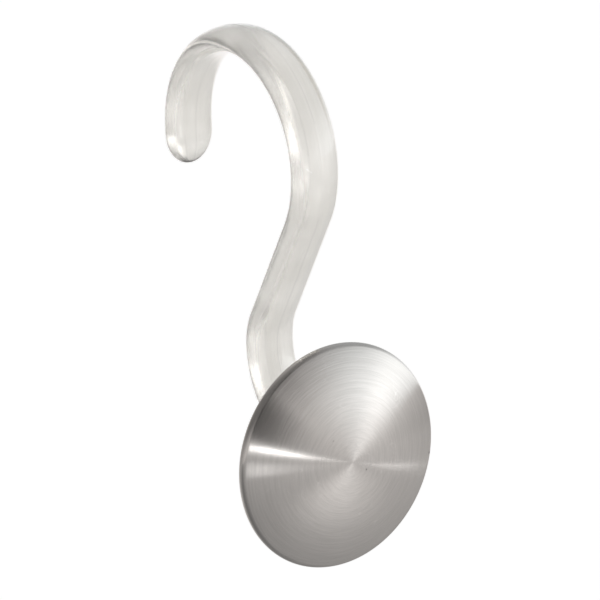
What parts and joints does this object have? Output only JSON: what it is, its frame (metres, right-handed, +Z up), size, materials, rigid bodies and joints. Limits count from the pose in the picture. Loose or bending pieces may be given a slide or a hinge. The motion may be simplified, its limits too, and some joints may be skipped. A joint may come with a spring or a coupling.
{
  "type": "curtain hook",
  "caption": "Clear plastic question-mark hook that hangs over a curtain rail and carries an eyelet behind a domed brushed steel disc.",
  "frame": {"origin": "inside of the saddle bend at its crown, where the hook bears on the top of the rail", "axes": "+Z up, the disc faces -Y, the free tip is on the +Y side, the limb bends in the plane X = 0, the rail runs along X"},
  "size_m": [0.038, 0.0463, 0.0877],
  "materials": {
    "clear_plastic": "polished",
    "brushed_steel": "satin"
  },
  "bodies": {
    "root": {"hook": "clear_plastic", "disc_cap": "brushed_steel"}
  },
  "joints": []
}
